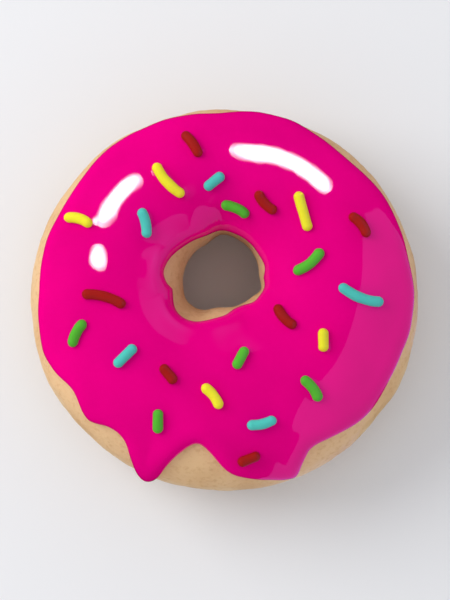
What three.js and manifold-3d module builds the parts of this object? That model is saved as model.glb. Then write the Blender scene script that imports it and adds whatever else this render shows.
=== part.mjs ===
// A ring doughnut lying flat: a pale golden ring of dough with a small hole a little behind its
// middle, dipped in thick pink icing that ends in uneven lobes and one long drip, with sugar
// strands stuck in the icing. Millimetres, +Z up, the front of the ring towards -Y.
import * as THREE from "three";
import { ParametricGeometry } from "three/addons/geometries/ParametricGeometry.js";
import { mergeVertices } from "three/addons/utils/BufferGeometryUtils.js";
import Module from "manifold-3d";

const wasm = await Module();
wasm.setup();

// Driving sizes. The ring's section is a rounded oval, squarer as its power rises above 2, and
// its underside dips this far below the surface it rests on before it is pressed flat.
const HOLE_CENTRE = { x: -0.5, y: 6.5 };
const SECTION_POWER = 2.3;
const RESTING_DIP = 1.2;
const ICING_THICKNESS = 1.6;
const ICING_RIM = 2.2;
const BEAD_HEIGHT = 0.5;
const BEAD_FROM_EDGE = 3.1;
const STRAND_RADIUS = 1.2;
const STRAND_SINK = 0.75;
const TOUCHING_GAP = 0.3;

// What changes round the ring is given by knots of [turn in degrees, value], with turn 0 at +X
// and 90 at +Y. Roll runs round the ring's section: 0 at the outer side, 90 at the crown, 180 at
// the hole's wall and 270 underneath.
const OUTER_RADIUS = [
  [0, 44.9], [30, 44.9], [58, 44.7], [71, 44.9], [88, 44.5], [125, 44.8], [165, 45.1], [200, 44.9],
  [230, 44.4], [260, 44.2], [285, 44.1], [312, 44.5], [336, 44.7],
];
const HOLE_RADIUS = [
  [0, 8.6], [40, 8.7], [70, 8.9], [90, 9.2], [102, 8.6], [118, 7.8], [140, 8.1], [160, 8.5], [180, 8.9],
  [200, 9.8], [220, 10.6], [240, 10.2], [260, 8.6], [275, 8.4], [290, 8.6], [320, 9.3], [335, 9.9],
  [350, 9],
];
const DOUGH_HEIGHT = [[90, 28.8], [270, 30.4]];
const OUTER_EDGE_ROLL = [
  [0, 35], [12, 38], [31, 36], [46, 40], [62, 37], [80, 36], [92, 40], [108, 36.5], [130, 37], [147, 42],
  [163, 38.5], [180, 37], [197, 32], [205, 36.5], [213, 43], [223, 37], [230, 45], [236, 43], [240, 30],
  [243, 14], [246, 7], [249, 14], [251.5, 37], [255, 51], [260, 59], [265, 54], [271, 40], [277, 33],
  [283, 28], [288, 23], [292, 23], [295, 34], [299, 42], [306, 41], [320, 34], [338, 36.5],
];
const MEAN_OUTER_EDGE_ROLL = 37;
const INNER_EDGE_ROLL = [
  [0, 150], [21, 154], [48, 156], [90, 157], [104, 153], [118, 149], [150, 144.5], [180, 135],
  [192, 137.5], [203, 143], [226, 137], [250, 139], [270, 143], [285, 149], [300, 151], [316, 149],
  [344, 153.5],
];

// Low swellings of hand-shaped dough, as waves round the ring and round its section.
const SWELLINGS = [
  { height: 0.4, turnWaves: 3, rollWaves: 0, phase: 1.1 },
  { height: 0.25, turnWaves: 5, rollWaves: 1, phase: 0.4 },
  { height: 0.2, turnWaves: 2, rollWaves: -2, phase: 2.6 },
];

// Mesh steps
const DOUGH_TURNS = 72;
const DOUGH_ROLLS = 28;
const ICING_TURNS = 116;
const ICING_ROWS = 15;
const ROWS_NEAR_RIM = 0.45;
const EDGE_SAMPLES = 1440;
const EDGE_POINTS = 480;
const STRAND_SIDES = 6;
const STRAND_STEPS = 2;
const MERGE_DISTANCE = 1e-3;
const ABOVE_ALL = 100;

const radians = THREE.MathUtils.degToRad;

/** A smooth closed graph through knots of [degrees, value], as a function of degrees. */
function around(knots) {
  const count = knots.length;
  const knot = (i) => {
    const laps = Math.floor(i / count);
    const [at, value] = knots[i - laps * count];
    return { at: at + 360 * laps, value };
  };
  const slope = (i) => (knot(i + 1).value - knot(i - 1).value) / (knot(i + 1).at - knot(i - 1).at);
  return (degrees) => {
    const at = THREE.MathUtils.euclideanModulo(degrees - knots[0][0], 360) + knots[0][0];
    let i = count - 1;
    while (knot(i).at > at) i -= 1;
    const span = knot(i + 1).at - knot(i).at;
    const t = (at - knot(i).at) / span;
    return (
      knot(i).value * (2 * t ** 3 - 3 * t ** 2 + 1) +
      slope(i) * span * (t ** 3 - 2 * t ** 2 + t) +
      knot(i + 1).value * (3 * t ** 2 - 2 * t ** 3) +
      slope(i + 1) * span * (t ** 3 - t ** 2)
    );
  };
}

const outerRadius = around(OUTER_RADIUS);
const holeRadius = around(HOLE_RADIUS);
const doughHeight = around(DOUGH_HEIGHT);
const outerEdgeRoll = around(OUTER_EDGE_ROLL);
const innerEdgeRoll = around(INNER_EDGE_ROLL);

/** How far the dough swells out, or falls in, of its even section, with none at its two sides. */
function swell(turn, roll) {
  const rise = SWELLINGS.reduce(
    (sum, wave) => sum + wave.height * Math.sin(wave.turnWaves * turn + wave.rollWaves * roll + wave.phase),
    0,
  );
  return Math.sin(roll) ** 2 * rise;
}

/** The point of the dough's skin at a turn and a roll in degrees, moved out by lift. */
function skin(turnDegrees, rollDegrees, lift = 0) {
  const turn = radians(turnDegrees % 360);
  const roll = radians(rollDegrees % 360);
  const way = { x: Math.cos(turn), y: Math.sin(turn) };
  const hole = holeRadius(turnDegrees);
  const inner = { x: HOLE_CENTRE.x + hole * way.x, y: HOLE_CENTRE.y + hole * way.y };
  const outer = { x: outerRadius(turnDegrees) * way.x, y: outerRadius(turnDegrees) * way.y };
  const halfWidth = Math.hypot(outer.x - inner.x, outer.y - inner.y) / 2;
  const halfHeight = (doughHeight(turnDegrees) + RESTING_DIP) / 2;
  const c = Math.cos(roll);
  const s = Math.sin(roll);
  const n = SECTION_POWER;
  const reach = (Math.abs(c) ** n + Math.abs(s) ** n) ** (-1 / n);
  const normal = new THREE.Vector2(
    (Math.sign(c) * Math.abs(reach * c) ** (n - 1)) / halfWidth,
    (Math.sign(s) * Math.abs(reach * s) ** (n - 1)) / halfHeight,
  ).normalize();
  const out = lift + swell(turn, roll);
  const across = halfWidth * reach * c + out * normal.x;
  const up = halfHeight * (1 + reach * s) + out * normal.y - RESTING_DIP;
  return new THREE.Vector3(
    (inner.x + outer.x) / 2 + ((outer.x - inner.x) * across) / (2 * halfWidth),
    (inner.y + outer.y) / 2 + ((outer.y - inner.y) * across) / (2 * halfWidth),
    Math.max(up, 0),
  );
}

/** Turns that put even steps along an edge of the icing, so that drips get as many as they need. */
function evenTurns(edgeRoll, count) {
  const turns = Array.from({ length: EDGE_SAMPLES + 1 }, (_, i) => (360 * i) / EDGE_SAMPLES);
  const points = turns.map((turn) => skin(turn, edgeRoll(turn)));
  const along = [0];
  for (let i = 1; i <= EDGE_SAMPLES; i += 1) {
    along.push(along[i - 1] + points[i].distanceTo(points[i - 1]));
  }
  return Array.from({ length: count + 1 }, (_, step) => {
    const wanted = (along[EDGE_SAMPLES] * step) / count;
    let i = 1;
    while (i < EDGE_SAMPLES && along[i] < wanted) i += 1;
    const share = (wanted - along[i - 1]) / (along[i] - along[i - 1]);
    return THREE.MathUtils.lerp(turns[i - 1], turns[i], share);
  });
}

/** The two edges of the icing, as points on the dough. */
const edgePoints = [outerEdgeRoll, innerEdgeRoll].flatMap((edgeRoll) =>
  evenTurns(edgeRoll, EDGE_POINTS).map((turn) => skin(turn, edgeRoll(turn))),
);

/** The icing's thickness at a point of the dough: round at the rim, a bead behind it, then even. */
function icingThickness(point) {
  const far = Math.min(...edgePoints.map((edge) => edge.distanceTo(point)));
  const rim = Math.sqrt(1 - (1 - Math.min(far / ICING_RIM, 1)) ** 2);
  const bead = BEAD_HEIGHT * Math.exp(-(((far - BEAD_FROM_EDGE) / ICING_RIM) ** 2));
  return rim * (ICING_THICKNESS + bead);
}

/** The ring of dough, with the flat foot that it rests on. */
function doughGeometry() {
  return new ParametricGeometry(
    (u, v, target) => target.copy(skin(360 * u, 360 * v)),
    DOUGH_TURNS,
    DOUGH_ROLLS,
  );
}

/** The coat of icing: over the top from its outer edge to its inner edge, and back underneath. */
function icingGeometry() {
  const edgeTurns = evenTurns(outerEdgeRoll, ICING_TURNS);
  return new ParametricGeometry(
    (u, v, target) => {
      const edgeTurn = edgeTurns[Math.round(u * ICING_TURNS)];
      const share = v <= 0.5 ? 2 * v : 2 - 2 * v;
      const onTop = v > 0 && v < 0.5;
      const eased = THREE.MathUtils.smoothstep(share, 0, 1);
      const turn = THREE.MathUtils.lerp(edgeTurn, 360 * u, eased);
      const across = THREE.MathUtils.lerp(share, eased, ROWS_NEAR_RIM);
      const overall = THREE.MathUtils.lerp(MEAN_OUTER_EDGE_ROLL, innerEdgeRoll(360 * u), across);
      const roll = overall + (outerEdgeRoll(edgeTurn) - MEAN_OUTER_EDGE_ROLL) * (1 - across) ** 2;
      const lift = onTop ? icingThickness(skin(turn, roll)) : 0;
      target.copy(skin(turn, roll, TOUCHING_GAP + lift));
    },
    ICING_TURNS,
    2 * ICING_ROWS,
  );
}

// Sugar strands: where each lies seen from above, the way it points in degrees, its length and
// how far its middle bows to its left.
const STRANDS = [
  { x: -7.75, y: 33.75, points: -55, length: 7, bow: 0.5 },
  { x: -12.6, y: 25.8, points: -48, length: 9.7, bow: -0.9 },
  { x: -2.5, y: 25.5, points: 38, length: 5.5, bow: 0 },
  { x: -33.25, y: 16.1, points: -18, length: 6.7, bow: 0.85 },
  { x: -18.6, y: 15.8, points: -78, length: 6.7, bow: 0.6 },
  { x: 2.2, y: 19.2, points: -23, length: 6.8, bow: 0.8 },
  { x: 9.6, y: 21, points: -47, length: 6.5, bow: -0.7 },
  { x: 17.7, y: 18.5, points: -74, length: 9.3, bow: 0 },
  { x: 30, y: 15, points: -51, length: 6.5, bow: 0.9 },
  { x: 18.8, y: 7.3, points: 39, length: 8.2, bow: -0.9 },
  { x: 30.7, y: -0.2, points: -21, length: 10.5, bow: -1.1 },
  { x: -27.4, y: -1.9, points: -16, length: 10.1, bow: 1 },
  { x: 14, y: -5.2, points: -50, length: 6.9, bow: -0.8 },
  { x: -32.8, y: -9.4, points: -117, length: 6.5, bow: -0.7 },
  { x: -22.4, y: -14.5, points: 45, length: 6.5, bow: 0 },
  { x: 22.1, y: -10.8, points: -89, length: 5.3, bow: 0 },
  { x: 3.5, y: -15, points: -117, length: 5.5, bow: 0 },
  { x: -12.7, y: -18.6, points: -51, length: 5.2, bow: 0 },
  { x: 19, y: -22, points: -52, length: 6.5, bow: 0.75 },
  { x: -3.2, y: -23.8, points: -52, length: 6.5, bow: 0.75 },
  { x: -15, y: -29, points: -91, length: 5.4, bow: 0 },
  { x: 8.1, y: -29, points: 13, length: 6.6, bow: -0.7 },
  { x: 5.3, y: -37.3, points: 22, length: 5.4, bow: 0 },
];

/** One strand as a bent rod with round ends, laid in the icing under a point seen from above. */
function strandGeometry({ x, y, points, length, bow }, icing) {
  const straight = length - 2 * STRAND_RADIUS;
  const rod = new THREE.CapsuleGeometry(STRAND_RADIUS, straight, STRAND_STEPS, STRAND_SIDES, STRAND_STEPS);
  rod.rotateZ(-Math.PI / 2);
  const position = rod.attributes.position;
  for (let i = 0; i < position.count; i += 1) {
    const share = (2 * position.getX(i)) / length;
    position.setY(i, position.getY(i) + bow * (1 - share ** 2));
  }
  const down = new THREE.Raycaster(new THREE.Vector3(x, y, ABOVE_ALL), new THREE.Vector3(0, 0, -1));
  const [{ point, face }] = down.intersectObject(icing);
  const heading = new THREE.Vector3(Math.cos(radians(points)), Math.sin(radians(points)), 0);
  const along = heading.clone().setZ(-heading.dot(face.normal) / face.normal.z).normalize();
  const left = new THREE.Vector3().crossVectors(face.normal, along);
  const centre = point.clone().addScaledVector(face.normal, STRAND_RADIUS - STRAND_SINK);
  const place = new THREE.Matrix4().makeBasis(along, left, face.normal).setPosition(centre);
  return rod.applyMatrix4(place);
}

/** A closed geometry as a manifold-3d solid. */
function solidOf(geometry) {
  const bare = geometry.clone();
  bare.deleteAttribute("normal");
  bare.deleteAttribute("uv");
  const merged = mergeVertices(bare, MERGE_DISTANCE);
  return new wasm.Manifold(
    new wasm.Mesh({
      numProp: 3,
      vertProperties: merged.attributes.position.array,
      triVerts: new Uint32Array(merged.index.array),
    }),
  );
}

/** A manifold-3d solid as a three.js geometry. */
function geometryOf(solid) {
  const mesh = solid.getMesh();
  const geometry = new THREE.BufferGeometry();
  geometry.setAttribute("position", new THREE.BufferAttribute(new Float32Array(mesh.vertProperties), 3));
  geometry.setIndex(new THREE.BufferAttribute(new Uint32Array(mesh.triVerts), 1));
  geometry.computeVertexNormals();
  return geometry;
}

/** The icing with every strand fused to it. */
function icingWithStrands() {
  const icing = new THREE.Mesh(icingGeometry());
  const whole = STRANDS.reduce(
    (solid, strand) => solid.add(solidOf(strandGeometry(strand, icing))),
    solidOf(icing.geometry),
  );
  return geometryOf(whole);
}

const doughnut = new THREE.Group();

const dough = new THREE.Mesh(
  doughGeometry(),
  new THREE.MeshStandardMaterial({ color: 0xd4ae80, roughness: 0.7, metalness: 0 }),
);
dough.name = "dough";
doughnut.add(dough);

const icing = new THREE.Mesh(
  icingWithStrands(),
  new THREE.MeshStandardMaterial({ color: 0xe4007e, roughness: 0.2, metalness: 0 }),
);
icing.name = "icing";
doughnut.add(icing);

export default doughnut;
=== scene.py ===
"""A ring doughnut with thick pink icing and sugar strands, seen from above.

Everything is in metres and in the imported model's frame: +Z up, the front of the ring towards -Y.
"""

import logging
import math
from dataclasses import dataclass, field
from enum import Enum

import bmesh
import bpy
import numpy as np
from mathutils import Matrix, Vector, noise
from mathutils.bvhtree import BVHTree
from mathutils.kdtree import KDTree


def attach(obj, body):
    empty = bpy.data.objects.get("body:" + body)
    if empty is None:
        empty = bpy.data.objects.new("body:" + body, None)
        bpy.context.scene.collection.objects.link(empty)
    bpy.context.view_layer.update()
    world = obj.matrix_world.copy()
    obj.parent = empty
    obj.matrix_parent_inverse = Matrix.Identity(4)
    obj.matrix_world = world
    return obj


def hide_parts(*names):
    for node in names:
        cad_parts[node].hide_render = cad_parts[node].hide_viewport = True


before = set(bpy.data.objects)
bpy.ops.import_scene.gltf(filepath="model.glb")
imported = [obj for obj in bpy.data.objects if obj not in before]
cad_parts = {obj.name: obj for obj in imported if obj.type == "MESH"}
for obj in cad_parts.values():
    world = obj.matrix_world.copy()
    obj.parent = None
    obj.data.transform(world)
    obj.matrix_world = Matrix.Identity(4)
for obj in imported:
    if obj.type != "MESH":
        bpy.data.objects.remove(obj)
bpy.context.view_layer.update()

log = logging.getLogger("doughnut")

MM = 0.001
FULL_TURN = 360.0
OPEN_SPREAD = 180.0
MIDDLE = 0.5
BODY = "root"


def linear(red: int, green: int, blue: int) -> tuple[float, float, float, float]:
    """Turn a colour as a screen shows it, 0 to 255, into the shader's linear colour.

    Args:
        red: the red share.
        green: the green share.
        blue: the blue share.

    Returns:
        The linear colour, with full opacity.
    """
    # The standard curve of screens: a straight line near black, and a power above it.
    shares = [share / 255 for share in (red, green, blue)]
    return (*(s / 12.92 if s <= 0.04045 else ((s + 0.055) / 1.055) ** 2.4 for s in shares), 1.0)


def smooth_step(share: np.ndarray) -> np.ndarray:
    """Ease a share from 0 to 1, level at both ends."""
    held = np.clip(share, 0.0, 1.0)
    return held * held * (3.0 - 2.0 * held)


@dataclass(frozen=True)
class Knots:
    """A smooth closed graph round the ring, through knots of (degrees, value).

    The degrees rise from knot to knot, and unit is what one unit of a value is worth.
    """

    points: tuple[tuple[float, float], ...]
    unit: float = 1.0

    def at(self, degrees: np.ndarray) -> np.ndarray:
        """Read the graph, which is a cubic between each two knots.

        Args:
            degrees: places round the ring.

        Returns:
            The value at each place.
        """
        places, values = np.array(self.points, float).T
        values = values * self.unit
        before, after = np.roll(places, 1), np.roll(places, -1)
        before[0] -= FULL_TURN
        after[-1] += FULL_TURN
        slopes = (np.roll(values, -1) - np.roll(values, 1)) / (after - before)
        wrapped = (np.asarray(degrees) - places[0]) % FULL_TURN + places[0]
        here = np.searchsorted(places, wrapped, side="right") - 1
        following = (here + 1) % len(places)
        span = after[here] - places[here]
        t = (wrapped - places[here]) / span
        return (
            values[here] * (2 * t**3 - 3 * t**2 + 1)
            + slopes[here] * span * (t**3 - 2 * t**2 + t)
            + values[following] * (3 * t**2 - 2 * t**3)
            + slopes[following] * span * (t**3 - t**2)
        )


@dataclass(frozen=True)
class Ripple:
    """Smooth seeded unevenness of a surface: its height, the width of its bumps and its seed."""

    height: float
    width: float
    seed: float

    def at(self, points: np.ndarray) -> np.ndarray:
        """Give the rise at each point.

        Args:
            points: rows of x, y and z.

        Returns:
            How far the surface rises there, mostly within half of the height each way.
        """
        away = Vector((self.seed, -self.seed, 2.0 * self.seed))
        return self.height * np.array([noise.noise(Vector(p) / self.width + away) for p in points])


@dataclass(frozen=True)
class Swelling:
    """One low wave of hand-shaped dough, round the ring and round its section."""

    height: float
    turn_waves: int
    roll_waves: int
    phase: float


@dataclass(frozen=True)
class RingForm:
    """The form of the ring of dough, which the icing follows.

    A place on it is a turn, with 0 at +X and 90 at +Y, and a roll round the ring's section: 0 at
    the outer side, 90 at the crown, 180 at the hole's wall and 270 underneath, in degrees.
    """

    hole_centre: tuple[float, float] = (-0.5 * MM, 6.5 * MM)
    section_power: float = 2.3
    resting_dip: float = 1.2 * MM
    outer_radius: Knots = Knots(
        (
            (0, 44.9), (30, 44.9), (58, 44.7), (71, 44.9), (88, 44.5), (125, 44.8), (165, 45.1),
            (200, 44.9), (230, 44.4), (260, 44.2), (285, 44.1), (312, 44.5), (336, 44.7),
        ),
        MM,
    )
    hole_radius: Knots = Knots(
        (
            (0, 8.6), (40, 8.7), (70, 8.9), (90, 9.2), (102, 8.6), (118, 7.8), (140, 8.1),
            (160, 8.5), (180, 8.9), (200, 9.8), (220, 10.6), (240, 10.2), (260, 8.6), (275, 8.4),
            (290, 8.6), (320, 9.3), (335, 9.9), (350, 9),
        ),
        MM,
    )
    height: Knots = Knots(((90, 28.8), (270, 30.4)), MM)
    swellings: tuple[Swelling, ...] = (
        Swelling(0.4 * MM, 3, 0, 1.1),
        Swelling(0.25 * MM, 5, 1, 0.4),
        Swelling(0.2 * MM, 2, -2, 2.6),
    )

    def swell(self, turn: np.ndarray, roll: np.ndarray) -> np.ndarray:
        """Give how far the dough swells out of its even section, with none at its two sides.

        Args:
            turn: turns, in radians.
            roll: rolls, in radians.

        Returns:
            The swelling at each place.
        """
        rise = sum(
            wave.height * np.sin(wave.turn_waves * turn + wave.roll_waves * roll + wave.phase)
            for wave in self.swellings
        )
        return np.sin(roll) ** 2 * rise

    def skin(
        self, turns: np.ndarray, rolls: np.ndarray, lift: np.ndarray | float = 0.0
    ) -> np.ndarray:
        """Find points on the dough's skin, or moved out from it.

        Args:
            turns: turns, in degrees.
            rolls: rolls, in degrees.
            lift: how far out from the skin each point is.

        Returns:
            Rows of x, y and z.
        """
        turn, roll = np.radians(turns), np.radians(rolls)
        way = np.stack([np.cos(turn), np.sin(turn)], axis=1)
        inner = np.array(self.hole_centre) + self.hole_radius.at(turns)[:, None] * way
        outer = self.outer_radius.at(turns)[:, None] * way
        half_width = np.linalg.norm(outer - inner, axis=1) / 2
        half_height = (self.height.at(turns) + self.resting_dip) / 2
        c, s, power = np.cos(roll), np.sin(roll), self.section_power
        reach = (np.abs(c) ** power + np.abs(s) ** power) ** (-1 / power)
        normal_across = np.sign(c) * np.abs(reach * c) ** (power - 1) / half_width
        normal_up = np.sign(s) * np.abs(reach * s) ** (power - 1) / half_height
        size = np.hypot(normal_across, normal_up)
        out = lift + self.swell(turn, roll)
        across = half_width * reach * c + out * normal_across / size
        up = half_height * (1 + reach * s) + out * normal_up / size - self.resting_dip
        level = (inner + outer) / 2 + (outer - inner) * (across / (2 * half_width))[:, None]
        return np.column_stack([level, np.maximum(up, 0.0)])


@dataclass
class RingMesh:
    """A closed ring-shaped mesh, spun from a circle, whose vertices are then moved into shape."""

    name: str
    turns: int
    rolls: int
    plain_radius: float = 3.0
    plain_tube: float = 1.0
    relax_factor: float = 0.5
    piece: bpy.types.Object = field(init=False)
    column: np.ndarray = field(init=False)
    row: np.ndarray = field(init=False)

    def __post_init__(self) -> None:
        """Spin the plain ring and note each vertex's column and row."""
        bm = bmesh.new()
        bmesh.ops.create_circle(bm, segments=self.rolls, radius=self.plain_tube)
        stand = Matrix.Translation((self.plain_radius, 0, 0)) @ Matrix.Rotation(math.pi / 2, 4, "X")
        bmesh.ops.transform(bm, matrix=stand, verts=bm.verts)
        bmesh.ops.spin(
            bm, geom=bm.verts[:] + bm.edges[:], cent=(0, 0, 0), axis=(0, 0, 1),
            angle=2 * math.pi, steps=self.turns, use_merge=True,
        )
        bmesh.ops.recalc_face_normals(bm, faces=bm.faces)
        mesh = bpy.data.meshes.new(self.name)
        bm.to_mesh(mesh)
        bm.free()
        mesh.shade_smooth()
        self.piece = bpy.data.objects.new(self.name, mesh)
        bpy.context.scene.collection.objects.link(self.piece)
        x, y, z = self.points().T
        turn = np.degrees(np.arctan2(y, x)) % FULL_TURN
        roll = np.degrees(np.arctan2(z, np.hypot(x, y) - self.plain_radius)) % FULL_TURN
        self.column = np.rint(turn * self.turns / FULL_TURN).astype(int) % self.turns
        self.row = np.rint(roll * self.rolls / FULL_TURN).astype(int) % self.rolls

    def points(self) -> np.ndarray:
        """Read the vertices.

        Returns:
            Rows of x, y and z.
        """
        flat = np.empty(3 * len(self.piece.data.vertices), np.float32)
        self.piece.data.vertices.foreach_get("co", flat)
        return flat.reshape(-1, 3).astype(float)

    def move_to(self, points: np.ndarray) -> None:
        """Put the vertices at these places.

        Args:
            points: rows of x, y and z, in the vertices' order.
        """
        self.piece.data.vertices.foreach_set("co", points.astype(np.float32).ravel())
        self.piece.data.update()

    def relax(self, loose: np.ndarray, times: int) -> None:
        """Smooth some of the vertices among their neighbours.

        Args:
            loose: true for each vertex that may move.
            times: how often to smooth.
        """
        bm = bmesh.new()
        bm.from_mesh(self.piece.data)
        bm.verts.ensure_lookup_table()
        free = [bm.verts[i] for i in np.flatnonzero(loose)]
        for _ in range(times):
            bmesh.ops.smooth_vert(
                bm, verts=free, factor=self.relax_factor,
                use_axis_x=True, use_axis_y=True, use_axis_z=True,
            )
        bm.to_mesh(self.piece.data)
        bm.free()


class Surface:
    """The top of a piece, found by looking straight down on it."""

    ABOVE = 0.1

    def __init__(self, piece: bpy.types.Object) -> None:
        """Make the piece's mesh ready for looking down on.

        Args:
            piece: a mesh object at the origin.
        """
        bm = bmesh.new()
        bm.from_mesh(piece.data)
        self.tree = BVHTree.FromBMesh(bm)
        bm.free()

    def under(self, x: float, y: float) -> tuple[Vector, Vector]:
        """Find the highest point above a place.

        Args:
            x: the place, along X.
            y: the place, along Y.

        Returns:
            The point and the surface's normal there.
        """
        point, normal, _, _ = self.tree.ray_cast(Vector((x, y, self.ABOVE)), Vector((0, 0, -1)))
        if point is None:
            raise ValueError(f"nothing lies under {x:.4f}, {y:.4f}")
        return point, normal


class NodeSheet:
    """A node tree, with short ways to add nodes and to join them."""

    def __init__(self, tree: bpy.types.NodeTree) -> None:
        """Take an empty or new tree."""
        self.tree = tree

    def add(self, kind: str, **settings: object) -> bpy.types.Node:
        """Add a node.

        Args:
            kind: the node's type.
            settings: its properties, or values of its inputs by name with _ for a space.

        Returns:
            The new node.
        """
        node = self.tree.nodes.new(kind)
        for name, value in settings.items():
            if hasattr(node, name):
                setattr(node, name, value)
            else:
                node.inputs[name.replace("_", " ")].default_value = value
        return node

    def join(self, start: bpy.types.NodeSocket, end: bpy.types.NodeSocket) -> None:
        """Lead one socket's value into another."""
        self.tree.links.new(start, end)

    def ramp(
        self, value: bpy.types.NodeSocket, *stops: tuple[float, tuple[float, ...]]
    ) -> bpy.types.NodeSocket:
        """Turn a value into a colour by a ramp.

        Args:
            value: what the ramp reads.
            stops: the place and colour of each stop, in rising order.

        Returns:
            The colour's socket.
        """
        node = self.add("ShaderNodeValToRGB")
        elements = node.color_ramp.elements
        while len(elements) < len(stops):
            elements.new(1.0)
        for element, (place, colour) in zip(elements, stops):
            element.position = place
            element.color = colour
        self.join(value, node.inputs["Fac"])
        return node.outputs["Color"]

    def map(
        self, value: bpy.types.NodeSocket, start: tuple[float, float], end: tuple[float, float]
    ) -> bpy.types.NodeSocket:
        """Turn one range of a value into another, eased and clamped.

        Args:
            value: what is read.
            start: the range of the value.
            end: what its two ends become.

        Returns:
            The mapped value's socket.
        """
        node = self.add("ShaderNodeMapRange", interpolation_type="SMOOTHSTEP")
        for name, number in zip(("From Min", "From Max", "To Min", "To Max"), (*start, *end)):
            node.inputs[name].default_value = number
        self.join(value, node.inputs["Value"])
        return node.outputs["Result"]

    def mix(
        self, share: bpy.types.NodeSocket, first: object, second: object
    ) -> bpy.types.NodeSocket:
        """Mix two colours.

        Args:
            share: how much of the second there is.
            first: a colour or its socket.
            second: a colour or its socket.

        Returns:
            The mixed colour's socket.
        """
        node = self.add("ShaderNodeMix", data_type="RGBA")
        self.join(share, node.inputs["Factor"])
        for name, colour in (("A", first), ("B", second)):
            socket = [s for s in node.inputs if s.name == name and s.type == "RGBA"][0]
            if isinstance(colour, bpy.types.NodeSocket):
                self.join(colour, socket)
            else:
                socket.default_value = colour
        return [s for s in node.outputs if s.type == "RGBA"][0]


@dataclass(frozen=True)
class Mottling:
    """Soft blotches: their number in a metre, their finer layers and how hard their edges are."""

    size: float = 100.0
    detail: float = 3.0
    contrast: float = 3.0
    layer_share: float = 0.55

    def inputs(self) -> dict[str, float]:
        """The values by the names of the group's inputs."""
        return {"Size": self.size, "Detail": self.detail, "Contrast": self.contrast}


def mottle_group() -> bpy.types.NodeTree:
    """Make or find the group that gives soft blotches of two sizes, as a mask from 0 to 1.

    Returns:
        The group, with inputs Vector, Size, Detail and Contrast, and an output Mask.
    """
    name = "soft_blotches"
    if name in bpy.data.node_groups:
        return bpy.data.node_groups[name]
    group = bpy.data.node_groups.new(name, "ShaderNodeTree")
    group.interface.new_socket("Vector", in_out="INPUT", socket_type="NodeSocketVector")
    usual = Mottling()
    for label, value in usual.inputs().items():
        socket = group.interface.new_socket(label, in_out="INPUT", socket_type="NodeSocketFloat")
        socket.default_value = value
    group.interface.new_socket("Mask", in_out="OUTPUT", socket_type="NodeSocketFloat")
    sheet = NodeSheet(group)
    start, end = sheet.add("NodeGroupInput"), sheet.add("NodeGroupOutput")
    blotches = sheet.add("ShaderNodeTexNoise", Roughness=usual.layer_share)
    sheet.join(start.outputs["Vector"], blotches.inputs["Vector"])
    sheet.join(start.outputs["Size"], blotches.inputs["Scale"])
    sheet.join(start.outputs["Detail"], blotches.inputs["Detail"])
    centred = sheet.add("ShaderNodeMath", operation="SUBTRACT")
    centred.inputs[1].default_value = MIDDLE
    sheet.join(blotches.outputs["Fac"], centred.inputs[0])
    spread = sheet.add("ShaderNodeMath", operation="MULTIPLY_ADD", use_clamp=True)
    spread.inputs[2].default_value = MIDDLE
    sheet.join(centred.outputs["Value"], spread.inputs[0])
    sheet.join(start.outputs["Contrast"], spread.inputs[1])
    sheet.join(spread.outputs["Value"], end.inputs["Mask"])
    return group


@dataclass(frozen=True)
class Finish:
    """What every finish shares: a material with a shader, object coordinates and blotches."""

    name: str

    def start(self) -> tuple[bpy.types.Material, NodeSheet, bpy.types.Node, bpy.types.NodeSocket]:
        """Make the bare material.

        Returns:
            The material, its sheet of nodes, its shader and the object's coordinates.
        """
        material = bpy.data.materials.new(self.name)
        material.use_nodes = True
        sheet = NodeSheet(material.node_tree)
        shader = material.node_tree.nodes["Principled BSDF"]
        place = sheet.add("ShaderNodeTexCoord").outputs["Object"]
        return material, sheet, shader, place

    def blotches(
        self, sheet: NodeSheet, place: bpy.types.NodeSocket, mottling: Mottling
    ) -> bpy.types.NodeSocket:
        """Add soft blotches to a material.

        Args:
            sheet: the material's nodes.
            place: the coordinates that the blotches lie on.
            mottling: what the blotches are like.

        Returns:
            The mask's socket.
        """
        node = sheet.add("ShaderNodeGroup", node_tree=mottle_group())
        sheet.join(place, node.inputs["Vector"])
        for label, value in mottling.inputs().items():
            node.inputs[label].default_value = value
        return node.outputs["Mask"]

    def bump(
        self, sheet: NodeSheet, shader: bpy.types.Node, height: bpy.types.NodeSocket,
        depth: float, strength: float,
    ) -> None:
        """Roughen the shader's normal by a height.

        Args:
            sheet: the material's nodes.
            shader: the shader.
            height: the height's socket, 0 to 1.
            depth: what a height of 1 stands for, in metres.
            strength: how much of it shows.
        """
        node = sheet.add("ShaderNodeBump", Strength=strength, Distance=depth)
        sheet.join(height, node.inputs["Height"])
        sheet.join(node.outputs["Normal"], shader.inputs["Normal"])


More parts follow.
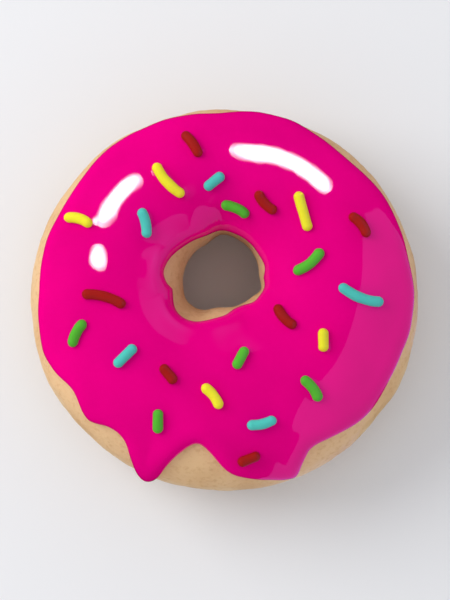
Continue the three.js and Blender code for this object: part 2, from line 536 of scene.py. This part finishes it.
@dataclass(frozen=True)
class CrustFinish(Finish):
    """The golden tan skin of fried dough: paler at the ring's waist, matt and finely grained."""

    name: str = "fried_crust"
    pale: tuple[float, ...] = linear(233, 202, 161)
    tan: tuple[float, ...] = linear(220, 181, 134)
    brown: tuple[float, ...] = linear(205, 160, 110)
    fleck: tuple[float, ...] = linear(184, 136, 88)
    waist: float = 12.5 * MM
    waist_reach: float = 7.0 * MM
    waist_wobble: float = 2.4 * MM
    browning: Mottling = Mottling(75.0, 4.0, 2.4)
    browned_from: tuple[float, float] = (0.35, 0.9)
    most_brown: float = 0.55
    grain: Mottling = Mottling(800.0, 4.0, 2.2)
    flecked_from: tuple[float, float] = (0.5, 0.95)
    most_fleck: float = 0.35
    roughness: tuple[float, float] = (0.5, 0.72)
    shine: float = 0.3
    grain_depth: float = 0.12 * MM
    grain_strength: float = 0.6

    def material(self) -> bpy.types.Material:
        """Make the crust's material.

        Returns:
            The material.
        """
        material, sheet, shader, place = self.start()
        height = sheet.add("ShaderNodeSeparateXYZ")
        sheet.join(place, height.inputs["Vector"])
        off_waist = sheet.add("ShaderNodeMath", operation="SUBTRACT")
        off_waist.inputs[1].default_value = self.waist
        sheet.join(height.outputs["Z"], off_waist.inputs[0])
        distance = sheet.add("ShaderNodeMath", operation="ABSOLUTE")
        sheet.join(off_waist.outputs["Value"], distance.inputs[0])
        browned = self.blotches(sheet, place, self.browning)
        grained = self.blotches(sheet, place, self.grain)
        wobble = sheet.map(browned, (0.0, 1.0), (-self.waist_wobble, self.waist_wobble))
        uneven = sheet.add("ShaderNodeMath", operation="ADD")
        sheet.join(distance.outputs["Value"], uneven.inputs[0])
        sheet.join(wobble, uneven.inputs[1])
        fried = sheet.map(uneven.outputs["Value"], (0.0, self.waist_reach), (0.0, 1.0))
        colour = sheet.mix(fried, self.pale, self.tan)
        brownness = sheet.map(browned, self.browned_from, (0.0, self.most_brown))
        flecking = sheet.map(grained, self.flecked_from, (0.0, self.most_fleck))
        colour = sheet.mix(brownness, colour, self.brown)
        colour = sheet.mix(flecking, colour, self.fleck)
        sheet.join(colour, shader.inputs["Base Color"])
        sheet.join(sheet.map(grained, (0.0, 1.0), self.roughness), shader.inputs["Roughness"])
        shader.inputs["Specular IOR Level"].default_value = self.shine
        self.bump(sheet, shader, grained, self.grain_depth, self.grain_strength)
        return material


@dataclass(frozen=True)
class IcingFinish(Finish):
    """Thick set icing: hot pink, smooth and glossy."""

    name: str = "pink_icing"
    pink: tuple[float, ...] = linear(229, 0, 126)
    deep: tuple[float, ...] = linear(219, 0, 120)
    clouding: Mottling = Mottling(60.0, 2.0, 2.5)
    peel: Mottling = Mottling(380.0, 2.0, 2.0)
    roughness: tuple[float, float] = (0.16, 0.24)
    coat_roughness: float = 0.04
    peel_depth: float = 0.03 * MM
    peel_strength: float = 0.2

    def material(self) -> bpy.types.Material:
        """Make the icing's material, whose shine is all in its coat.

        Returns:
            The material.
        """
        material, sheet, shader, place = self.start()
        clouded = self.blotches(sheet, place, self.clouding)
        peeled = self.blotches(sheet, place, self.peel)
        sheet.join(sheet.mix(clouded, self.pink, self.deep), shader.inputs["Base Color"])
        sheet.join(sheet.map(clouded, (0.0, 1.0), self.roughness), shader.inputs["Roughness"])
        shader.inputs["Specular IOR Level"].default_value = 0.0
        shader.inputs["Coat Weight"].default_value = 1.0
        shader.inputs["Coat Roughness"].default_value = self.coat_roughness
        self.bump(sheet, shader, peeled, self.peel_depth, self.peel_strength)
        return material


@dataclass(frozen=True)
class StrandFinish(Finish):
    """A sugar strand's waxy shine, a little lighter or darker from strand to strand."""

    colour: tuple[float, ...] = linear(255, 255, 255)
    darkening: float = 0.82
    most_tone: float = 0.5
    wear: Mottling = Mottling(900.0, 2.0, 2.5)
    worn_from: tuple[float, float] = (0.5, 1.0)
    most_worn: float = 0.3
    roughness: tuple[float, float] = (0.3, 0.42)
    shine: float = 0.25
    wear_depth: float = 0.03 * MM
    wear_strength: float = 0.4

    def material(self) -> bpy.types.Material:
        """Make the material of the strands of one colour.

        Returns:
            The material.
        """
        material, sheet, shader, place = self.start()
        tone = sheet.add("ShaderNodeAttribute", attribute_name="tone").outputs["Fac"]
        worn = self.blotches(sheet, place, self.wear)
        darker = tuple(self.darkening * share for share in self.colour[:3]) + (1.0,)
        depth = sheet.map(tone, (0.0, 1.0), (0.0, self.most_tone))
        shade = sheet.mix(depth, self.colour, darker)
        colour = sheet.mix(sheet.map(worn, self.worn_from, (0.0, self.most_worn)), shade, darker)
        sheet.join(colour, shader.inputs["Base Color"])
        sheet.join(sheet.map(worn, (0.0, 1.0), self.roughness), shader.inputs["Roughness"])
        shader.inputs["Specular IOR Level"].default_value = self.shine
        self.bump(sheet, shader, worn, self.wear_depth, self.wear_strength)
        return material


class StrandColour(Enum):
    """The colours of the sugar strands, as a screen shows them."""

    RED = (156, 18, 10)
    YELLOW = (230, 221, 40)
    TEAL = (75, 190, 178)
    GREEN = (83, 177, 45)

    @property
    def label(self) -> str:
        """The colour's name in a piece, a material or a slot."""
        return f"strand_{self.name.lower()}"


@dataclass
class Dough:
    """The ring of fried dough."""

    form: RingForm
    turns: int = 400
    rolls: int = 176
    waves: tuple[Ripple, ...] = (Ripple(0.5 * MM, 14.0 * MM, 3.1), Ripple(0.2 * MM, 5.5 * MM, 7.7))
    grain: Ripple = Ripple(0.09 * MM, 1.6 * MM, 11.3)

    def relief(self, points: np.ndarray) -> np.ndarray:
        """Give the low waves of the skin at these points, which the icing follows too."""
        return sum(wave.at(points) for wave in self.waves)

    def build(self) -> bpy.types.Object:
        """Make the ring of dough.

        Returns:
            The piece, which replaces the node of the dough.
        """
        ring = RingMesh("dough_ring", self.turns, self.rolls)
        turns = ring.column * FULL_TURN / self.turns
        rolls = ring.row * FULL_TURN / self.rolls
        even = self.form.skin(turns, rolls)
        ring.move_to(self.form.skin(turns, rolls, self.relief(even) + self.grain.at(even)))
        ring.piece.data.materials.append(CrustFinish().material())
        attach(ring.piece, BODY)
        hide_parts("dough")
        return ring.piece


@dataclass
class Icing:
    """The coat of icing, from its lobed outer edge over the crown and into the hole.

    The two edges are rolls round the ring's section, at turns round the ring.
    """

    form: RingForm
    dough: Dough
    thickness: float = 1.6 * MM
    gap: float = 0.3 * MM
    rim: float = 2.2 * MM
    bead_height: float = 0.5 * MM
    bead_from_edge: float = 3.1 * MM
    sunk: float = 0.15 * MM
    outer_edge: Knots = Knots(
        (
            (0, 35), (12, 38), (31, 36), (46, 40), (62, 37), (80, 36), (92, 40), (108, 36.5),
            (130, 37), (147, 42), (163, 38.5), (180, 37), (197, 32), (205, 36.5), (213, 43),
            (223, 37), (230, 45), (236, 43), (240, 30), (243, 14), (246, 7), (249, 14), (251.5, 37),
            (255, 51), (260, 59), (265, 54), (271, 40), (277, 33), (283, 28), (288, 23), (292, 23),
            (295, 34), (299, 42), (306, 41), (320, 34), (338, 36.5),
        )
    )
    mean_outer_edge: float = 37.0
    inner_edge: Knots = Knots(
        (
            (0, 150), (21, 154), (48, 156), (90, 157), (104, 153), (118, 149), (150, 144.5),
            (180, 135), (192, 137.5), (203, 143), (226, 137), (250, 139), (270, 143), (285, 149),
            (300, 151), (316, 149), (344, 153.5),
        )
    )
    columns: int = 640
    top_rows: int = 102
    under_rows: int = 26
    rows_near_rim: float = 0.75
    edge_samples: int = 7200
    follows: float = 0.15
    hides_over: float = 4.0 * MM
    waves: tuple[Ripple, ...] = (
        Ripple(0.12 * MM, 14.0 * MM, 21.9),
        Ripple(0.02 * MM, 4.0 * MM, 5.2),
    )
    relaxings: int = 6
    creep: float = 0.13 * MM
    creep_reach: float = 0.9 * MM
    ring: RingMesh = field(init=False)
    on_top: np.ndarray = field(init=False)

    def even_turns(self, edge: Knots, count: int) -> np.ndarray:
        """Find turns that put even steps along an edge, so that drips get as many as they need.

        Args:
            edge: the edge.
            count: the number of steps all round.

        Returns:
            The turns, one for each step, in degrees.
        """
        turns = np.linspace(0.0, FULL_TURN, self.edge_samples + 1)
        points = self.form.skin(turns, edge.at(turns))
        steps = np.linalg.norm(np.diff(points, axis=0), axis=1)
        along = np.concatenate([[0.0], np.cumsum(steps)])
        return np.interp(np.arange(count) * along[-1] / count, along, turns)

    def from_edges(self, points: np.ndarray) -> np.ndarray:
        """Measure how far points of the skin are from the nearer edge of the icing.

        Args:
            points: rows of x, y and z.

        Returns:
            The distances.
        """
        tree = KDTree(self.edge_samples)
        half = self.edge_samples // 2
        for edge in (self.outer_edge, self.inner_edge):
            turns = self.even_turns(edge, half)
            for index, point in enumerate(self.form.skin(turns, edge.at(turns))):
                tree.insert(point, index)
        tree.balance()
        return np.array([tree.find(point)[2] for point in points])

    def build(self) -> None:
        """Make the coat: round at its rim, with a bead behind it, then even."""
        rows = self.top_rows + self.under_rows
        self.ring = RingMesh("icing_coat", self.columns, rows)
        column, row = self.ring.column, self.ring.row
        self.on_top = (row > 0) & (row < self.top_rows)
        share = np.where(row <= self.top_rows, row / self.top_rows, (rows - row) / self.under_rows)
        eased = smooth_step(share)
        edge_turns = self.even_turns(self.outer_edge, self.columns)[column]
        level_turns = column * FULL_TURN / self.columns
        turns = edge_turns + (level_turns - edge_turns) * eased
        across = share + (eased - share) * self.rows_near_rim
        inner_rolls, outer_rolls = self.inner_edge.at(level_turns), self.outer_edge.at(edge_turns)
        overall = self.mean_outer_edge + (inner_rolls - self.mean_outer_edge) * across
        rolls = overall + (outer_rolls - self.mean_outer_edge) * (1 - across) ** 2
        even = self.form.skin(turns, rolls)
        far = self.from_edges(even)
        rim = np.sqrt(1 - (1 - np.minimum(far / self.rim, 1)) ** 2)
        bead = self.bead_height * np.exp(-(((far - self.bead_from_edge) / self.rim) ** 2))
        waves = sum(wave.at(even) for wave in self.waves)
        thick = rim * (self.gap + self.thickness + bead + waves)
        relief = self.dough.relief(even)
        hidden = smooth_step(far / self.hides_over)
        lift = relief * (1 - hidden * (1 - self.follows)) + np.where(self.on_top, thick, -self.sunk)
        self.ring.move_to(self.form.skin(turns, rolls, lift))
        self.ring.relax(self.on_top & (far > self.rim / 2), self.relaxings)

    def rise_round(self, axes: list[Vector], radius: float) -> None:
        """Let the icing creep up the strands, as it does where they sink into it.

        Args:
            axes: points along the strands' middles.
            radius: the strands' radius.
        """
        tree = KDTree(len(axes))
        for index, point in enumerate(axes):
            tree.insert(point, index)
        tree.balance()
        mesh = self.ring.piece.data
        points = self.ring.points()
        normals = np.array([v.normal for v in mesh.vertices])
        gaps = np.array([tree.find(point)[2] for point in points]) - radius
        share = np.clip(1 - np.maximum(gaps, 0.0) / self.creep_reach, 0.0, 1.0) * self.on_top
        self.ring.move_to(points + normals * (self.creep * share**2)[:, None])

    def dress(self) -> bpy.types.Object:
        """Give the coat its finish and its place in the frame.

        Returns:
            The piece, which replaces the node of the icing.
        """
        piece = self.ring.piece
        piece.data.materials.append(IcingFinish().material())
        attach(piece, BODY)
        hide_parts("icing")
        return piece


@dataclass(frozen=True)
class Strand:
    """One sugar strand: its middle seen from above, in millimetres, the way it points in
    degrees, its length and how far its middle bows to its left, in millimetres."""

    colour: StrandColour
    x: float
    y: float
    points: float
    length: float
    bow: float = 0.0

    def heading(self) -> Vector:
        """The way that the strand points, seen from above."""
        way = math.radians(self.points)
        return Vector((math.cos(way), math.sin(way), 0.0))

    def axis(self, along: float, surface: Surface, height: float) -> tuple[Vector, Vector]:
        """Find a point of the strand's middle line.

        Args:
            along: how far from the strand's middle it is, in metres.
            surface: what the strand lies on.
            height: how high its middle line is above that.

        Returns:
            The point and the surface's normal under it.
        """
        heading = self.heading()
        left = Vector((-heading.y, heading.x, 0.0))
        _, normal = surface.under(self.x * MM, self.y * MM)
        climb = heading.dot(normal) / normal.z
        level = along / math.sqrt(1 + climb**2)
        bow = self.bow * MM * (1 - (2 * along / (self.length * MM)) ** 2)
        place = Vector((self.x * MM, self.y * MM, 0.0)) + heading * level + left * bow
        point, normal = surface.under(place.x, place.y)
        return point + normal * height, normal


RED, YELLOW, TEAL, GREEN = StrandColour
STRANDS = (
    Strand(RED, -7.75, 33.75, -55, 7, 0.5),
    Strand(YELLOW, -12.6, 25.8, -48, 9.7, -0.9),
    Strand(TEAL, -2.5, 25.5, 38, 5.5),
    Strand(YELLOW, -33.25, 16.1, -18, 6.7, 0.85),
    Strand(TEAL, -18.6, 15.8, -78, 6.7, 0.6),
    Strand(GREEN, 2.2, 19.2, -23, 6.8, 0.8),
    Strand(RED, 9.6, 21, -47, 6.5, -0.7),
    Strand(YELLOW, 17.7, 18.5, -74, 9.3),
    Strand(RED, 30, 15, -51, 6.5, 0.9),
    Strand(GREEN, 18.8, 7.3, 39, 8.2, -0.9),
    Strand(TEAL, 30.7, -0.2, -21, 10.5, -1.1),
    Strand(RED, -27.4, -1.9, -16, 10.1, 1),
    Strand(RED, 14, -5.2, -50, 6.9, -0.8),
    Strand(GREEN, -32.8, -9.4, -117, 6.5, -0.7),
    Strand(TEAL, -22.4, -14.5, 45, 6.5),
    Strand(YELLOW, 22.1, -10.8, -89, 5.3),
    Strand(GREEN, 3.5, -15, -117, 5.5),
    Strand(RED, -12.7, -18.6, -51, 5.2),
    Strand(GREEN, 19, -22, -52, 6.5, 0.75),
    Strand(YELLOW, -3.2, -23.8, -52, 6.5, 0.75),
    Strand(GREEN, -15, -29, -91, 5.4),
    Strand(TEAL, 8.1, -29, 13, 6.6, -0.7),
    Strand(RED, 5.3, -37.3, 22, 5.4),
)


@dataclass
class StrandSet:
    """The sugar strands, laid on the icing and joined into one piece for each colour."""

    surface: Surface
    radius: float = 1.2 * MM
    sink: float = 0.75 * MM
    sides: int = 24
    rings: int = 16
    middle_cuts: int = 7
    axis_points: int = 40
    least_long: float = 0.9
    equator: float = 0.01
    step_ahead: float = 0.25
    key_steps: float = 1e7
    tone_step: float = 0.382
    lumps: Ripple = Ripple(0.1 * MM, 2.2 * MM, 15.4)

    def axes(self) -> list[Vector]:
        """List points along the middle of every strand, for the icing to rise round.

        Returns:
            The points.
        """
        points = []
        for strand in STRANDS:
            straight = strand.length * MM - 2 * self.radius
            for along in np.linspace(-straight / 2, straight / 2, self.axis_points):
                points.append(strand.axis(along, self.surface, self.radius - self.sink)[0])
        return points

    def rod(self, strand: Strand, tone: float) -> bpy.types.Mesh:
        """Make one strand: a rod with round ends, bent to lie along the icing.

        Args:
            strand: the strand.
            tone: how dark it is among those of its colour, from 0 to 1.

        Returns:
            The strand's mesh.
        """
        bm = bmesh.new()
        layer = bm.verts.layers.float.new("tone")
        bmesh.ops.create_uvsphere(
            bm, u_segments=self.sides, v_segments=self.rings, radius=self.radius
        )
        half = strand.length * MM / 2 - self.radius
        for vert in bm.verts:
            if abs(vert.co.z) > self.equator * self.radius:
                vert.co.z += math.copysign(half, vert.co.z)
        long_edges = [edge for edge in bm.edges if edge.calc_length() > self.least_long * half]
        bmesh.ops.subdivide_edges(
            bm, edges=long_edges, cuts=self.middle_cuts, use_grid_fill=True
        )
        lumps = self.lumps.at(np.array([vert.co for vert in bm.verts]) + strand.x * MM)
        places: dict[int, tuple[Vector, Vector, Vector]] = {}
        for vert, lump in zip(bm.verts, lumps):
            key = round(vert.co.z * self.key_steps)
            if key not in places:
                places[key] = self.section(strand, vert.co.z)
            point, side, up = places[key]
            swell = 1 + lump / self.radius
            vert.co = point + side * (vert.co.x * swell) + up * (vert.co.y * swell)
            vert[layer] = tone
        bmesh.ops.recalc_face_normals(bm, faces=bm.faces)
        mesh = bpy.data.meshes.new("rod")
        bm.to_mesh(mesh)
        bm.free()
        return mesh

    def section(self, strand: Strand, along: float) -> tuple[Vector, Vector, Vector]:
        """Place one cross-section of a strand.

        Args:
            strand: the strand.
            along: how far from the strand's middle the section is, in metres.

        Returns:
            The section's middle and its directions sideways and up.
        """
        step = self.radius * self.step_ahead
        height = self.radius - self.sink
        point, normal = strand.axis(along, self.surface, height)
        ahead, _ = strand.axis(along + step, self.surface, height)
        behind, _ = strand.axis(along - step, self.surface, height)
        forward = (ahead - behind).normalized()
        side = normal.cross(forward).normalized()
        return point, side, forward.cross(side)

    def build(self, colour: StrandColour) -> bpy.types.Object:
        """Make all strands of one colour.

        Args:
            colour: the colour.

        Returns:
            The piece.
        """
        bm = bmesh.new()
        for index, strand in enumerate(STRANDS):
            if strand.colour is colour:
                rod = self.rod(strand, index * self.tone_step % 1.0)
                bm.from_mesh(rod)
                bpy.data.meshes.remove(rod)
        mesh = bpy.data.meshes.new(colour.label)
        bm.to_mesh(mesh)
        bm.free()
        mesh.shade_smooth()
        piece = bpy.data.objects.new(colour.label, mesh)
        bpy.context.scene.collection.objects.link(piece)
        mesh.materials.append(StrandFinish(colour.label, linear(*colour.value)).material())
        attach(piece, BODY)
        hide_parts("icing")
        return piece


@dataclass(frozen=True)
class Lamp:
    """A soft lamp: where it hangs, where it faces, how large it is and how bright.

    All lengths are in metres. Its wide side lies along the given direction. A grid in front of
    it narrows its spread, in degrees. Its brightness is that of its face, seen straight on.
    """

    name: str
    place: Vector
    aim: Vector
    along: Vector
    wide: float
    tall: float
    brightness: float
    spread: float = OPEN_SPREAD
    in_gloss: bool = True
    in_matt: bool = True
    colour: tuple[float, float, float] = (1.0, 1.0, 1.0)

    @classmethod
    def stood(
        cls, name: str, aim: Vector, azimuth: float, slant: float, distance: float,
        turn: float = 0.0, **settings: object,
    ) -> "Lamp":
        """Make a lamp that stands some way off the spot it faces.

        Args:
            name: the lamp's name.
            aim: the spot.
            azimuth: the way from the spot to the lamp, in degrees round from +X.
            slant: the same way, in degrees down from straight above.
            distance: how far off the lamp is.
            turn: how far its wide side is turned up from level, in degrees.
            settings: the other fields.

        Returns:
            The lamp.
        """
        a, s, t = (math.radians(angle) for angle in (azimuth, slant, turn))
        way = Vector((math.cos(a) * math.sin(s), math.sin(a) * math.sin(s), math.cos(s)))
        level = Vector((-math.sin(a), math.cos(a), 0.0))
        along = level * math.cos(t) + way.cross(level) * math.sin(t)
        return cls(name, aim + way * distance, aim, along, **settings)

    def watts(self) -> float:
        """Work out the power that its brightness takes.

        Returns:
            The power, which is less behind a grid.
        """
        area = math.pi / 4 * self.wide * self.tall
        half = math.radians(self.spread) / 2
        # Behind a grid the renderer lets the same power out brighter, by this gain.
        gain = math.tan(half) / (math.tan(half) - half) if self.spread < OPEN_SPREAD else 1.0
        return self.brightness * math.pi * area / gain

    def build(self) -> None:
        """Hang the lamp."""
        light = bpy.data.lights.new(self.name, "AREA")
        light.shape = "ELLIPSE"
        light.size, light.size_y = self.wide, self.tall
        light.energy = self.watts()
        light.color = self.colour
        light.spread = math.radians(self.spread)
        away = (self.place - self.aim).normalized()
        side = (self.along - away * self.along.dot(away)).normalized()
        turned = Matrix((side, away.cross(side), away)).transposed().to_4x4()
        lamp = bpy.data.objects.new(self.name, light)
        lamp.matrix_world = Matrix.Translation(self.place) @ turned
        lamp.visible_camera = False
        lamp.visible_glossy = self.in_gloss
        lamp.visible_diffuse = self.in_matt
        bpy.context.scene.collection.objects.link(lamp)


@dataclass(frozen=True)
class Gleam:
    """A bar-shaped highlight on the icing, seen from above: its middle line and its width, in mm.

    It is made by a row of small lamps with grids, hung where the camera sees them mirrored along
    the bar. They show in the gloss only.
    """

    name: str
    line: tuple[tuple[float, float], ...]
    width: float = 4.6
    step: float = 1.0
    height: float = 16 * MM
    spread: float = 26.0
    brightness: float = 23.0

    def middles(self) -> list[Vector]:
        """Step along the middle line, rounded through its points.

        Returns:
            Places on the line, seen from above.
        """
        points = np.array(self.line)
        spans = np.concatenate([[0.0], np.cumsum(np.linalg.norm(np.diff(points, axis=0), axis=1))])
        bend = np.polyfit(spans, points, min(2, len(points) - 1))
        steps = max(2, math.ceil(spans[-1] / self.step) + 1)
        along = np.linspace(0, spans[-1], steps)
        rows = zip(np.polyval(bend[:, 0], along), np.polyval(bend[:, 1], along))
        return [Vector((x, y, 0.0)) * MM for x, y in rows]

    def mirrored(self, spot: Vector, surface: Surface, eye: Vector) -> Vector:
        """Find what the camera sees mirrored at a spot, at the lamps' height over it.

        Args:
            spot: a place on the bar, seen from above.
            surface: the icing.
            eye: the camera's place.

        Returns:
            The place where a lamp shows there.
        """
        point, normal = surface.under(spot.x, spot.y)
        ray = (point - eye).normalized()
        return point + (ray - 2 * ray.dot(normal) * normal) * self.height

    def hang(self, surface: Surface, eye: Vector) -> None:
        """Hang the lamps.

        Args:
            surface: the icing.
            eye: the camera's place.
        """
        middles = self.middles()
        for index, middle in enumerate(middles):
            ahead = middles[min(index + 1, len(middles) - 1)] - middles[max(index - 1, 0)]
            ahead = ahead.normalized() * (self.width / 2 * MM)
            beside = Vector((-ahead.y, ahead.x, 0.0))
            spots = (middle, middle + beside, middle - beside, middle + ahead, middle - ahead)
            place, left, right, front, back = (self.mirrored(s, surface, eye) for s in spots)
            across, length = left - right, front - back
            off = length - across * (length.dot(across) / across.length_squared)
            point, _ = surface.under(middle.x, middle.y)
            Lamp(
                f"{self.name}_{index}", place, point, across, across.length, off.length,
                self.brightness, self.spread, in_matt=False,
            ).build()


@dataclass
class Studio:
    """The pale floor, the soft light and the camera."""

    aim: Vector = field(default_factory=lambda: Vector((0.0, 0.0, 15.0 * MM)))
    floor_radius: float = 3.0
    floor_sides: int = 96
    floor_roughness: float = 0.8
    floor_shine: float = 0.1
    floor_colour: tuple[float, ...] = (0.78, 0.78, 0.79, 1.0)
    zenith: tuple[float, ...] = (0.56, 0.57, 0.59, 1.0)
    horizon: tuple[float, ...] = (1.0, 1.02, 1.06, 1.0)
    sky_strength: float = 1.06
    cool: tuple[float, float, float] = (0.25, 0.3, 0.9)
    camera_elevation: float = 84.0
    camera_lens: float = 150.0
    sensor: float = 36.0
    photo_height: int = 600
    pixel: float = 0.232 * MM
    gleams: tuple[Gleam, ...] = (
        Gleam("gleam_right", ((3.6, 32.2), (7.8, 32.4), (12.6, 31.2), (16.7, 28.7), (22.3, 24.8))),
        Gleam("gleam_left", ((-20.9, 25.3), (-24.4, 22.1), (-26.9, 17.1)), spread=22.0),
        Gleam("gleam_small", ((-28.9, 9.1), (-29.1, 7.8)), 4.2, spread=16.0, brightness=22.0),
    )

    def lamps(self) -> tuple[Lamp, ...]:
        """List the lamps: a large soft one, and cool ones that are seen in the gloss alone.

        Returns:
            The lamps.
        """
        cool = {"in_matt": False, "colour": self.cool}
        return (
            Lamp.stood(
                "key", self.aim, azimuth=157.0, slant=55.0, distance=0.9,
                wide=0.7, tall=0.7, brightness=4.4, in_gloss=False,
            ),
            Lamp.stood(
                "cool_side", Vector((-26.8, 42.2, 30.0)) * MM,
                azimuth=-32.2, slant=84.3, distance=86.2 * MM, turn=44.2,
                wide=204.8 * MM, tall=79.0 * MM, brightness=1.01, **cool,
            ),
            Lamp.stood(
                "cool_hole_side", Vector((-14.9, 8.5, 30.0)) * MM,
                azimuth=7.0, slant=32.6, distance=69.8 * MM, turn=25.3,
                wide=50.4 * MM, tall=31.4 * MM, brightness=1.91, spread=39.6, **cool,
            ),
            Lamp.stood(
                "cool_hole_front", Vector((-14.1, -0.3, 30.0)) * MM,
                azimuth=55.9, slant=49.6, distance=52.1 * MM, turn=3.3,
                wide=42.2 * MM, tall=40.4 * MM, brightness=1.58, spread=52.2, **cool,
            ),
            Lamp.stood(
                "cool_hole_back", Vector((-19.9, 4.4, 30.0)) * MM,
                azimuth=-30.0, slant=39.4, distance=36.6 * MM, turn=-67.4,
                wide=28.6 * MM, tall=23.6 * MM, brightness=1.29, spread=48.1, **cool,
            ),
        )

    def build_floor(self) -> None:
        """Lay the pale floor."""
        bm = bmesh.new()
        bmesh.ops.create_circle(
            bm, cap_ends=True, segments=self.floor_sides, radius=self.floor_radius
        )
        mesh = bpy.data.meshes.new("floor")
        bm.to_mesh(mesh)
        bm.free()
        floor = bpy.data.objects.new("floor", mesh)
        bpy.context.scene.collection.objects.link(floor)
        material = bpy.data.materials.new("pale_floor")
        material.use_nodes = True
        shader = material.node_tree.nodes["Principled BSDF"]
        shader.inputs["Base Color"].default_value = self.floor_colour
        shader.inputs["Roughness"].default_value = self.floor_roughness
        shader.inputs["Specular IOR Level"].default_value = self.floor_shine
        mesh.materials.append(material)
        floor.visible_glossy = False

    def build_light(self, icing: Surface) -> None:
        """Hang the lamps and light the sky, which is brighter low down and isn't mirrored.

        Args:
            icing: the icing, which mirrors the gleams.
        """
        for lamp in self.lamps():
            lamp.build()
        for gleam in self.gleams:
            gleam.hang(icing, bpy.context.scene.camera.location)
        world = bpy.data.worlds.new("pale_sky")
        world.use_nodes = True
        world.cycles_visibility.glossy = False
        sheet = NodeSheet(world.node_tree)
        direction = sheet.add("ShaderNodeSeparateXYZ")
        sheet.join(sheet.add("ShaderNodeTexCoord").outputs["Generated"], direction.inputs["Vector"])
        colour = sheet.ramp(direction.outputs["Z"], (0.0, self.horizon), (1.0, self.zenith))
        background = world.node_tree.nodes["Background"]
        sheet.join(colour, background.inputs["Color"])
        background.inputs["Strength"].default_value = self.sky_strength
        bpy.context.scene.world = world
        bpy.context.scene.view_settings.view_transform = "Standard"

    def build_camera(self) -> None:
        """Set up the camera, nearly straight above and a little in front."""
        focal_pixels = self.camera_lens / self.sensor * self.photo_height
        e = math.radians(self.camera_elevation)
        back = Vector((0.0, -math.cos(e), math.sin(e)))
        data = bpy.data.cameras.new("camera")
        data.lens = self.camera_lens
        data.sensor_width = self.sensor
        camera = bpy.data.objects.new("camera", data)
        camera.location = self.aim + back * (focal_pixels * self.pixel)
        camera.rotation_euler = (-back).to_track_quat("-Z", "Y").to_euler()
        bpy.context.scene.collection.objects.link(camera)
        bpy.context.scene.camera = camera


def report(piece: bpy.types.Object) -> None:
    """Log a finished piece's name and its number of faces."""
    log.info("%s: %d faces", piece.name, len(piece.data.polygons))


def main() -> None:
    """Build the studio and the doughnut, piece by piece."""
    logging.basicConfig(level=logging.INFO, format="%(message)s")
    studio = Studio()
    studio.build_camera()
    studio.build_floor()
    form = RingForm()
    dough = Dough(form)
    report(dough.build())
    icing = Icing(form, dough)
    icing.build()
    surface = Surface(icing.ring.piece)
    studio.build_light(surface)
    strands = StrandSet(surface)
    for colour in StrandColour:
        report(strands.build(colour))
    icing.rise_round(strands.axes(), strands.radius)
    report(icing.dress())


if __name__ == "__main__":
    main()
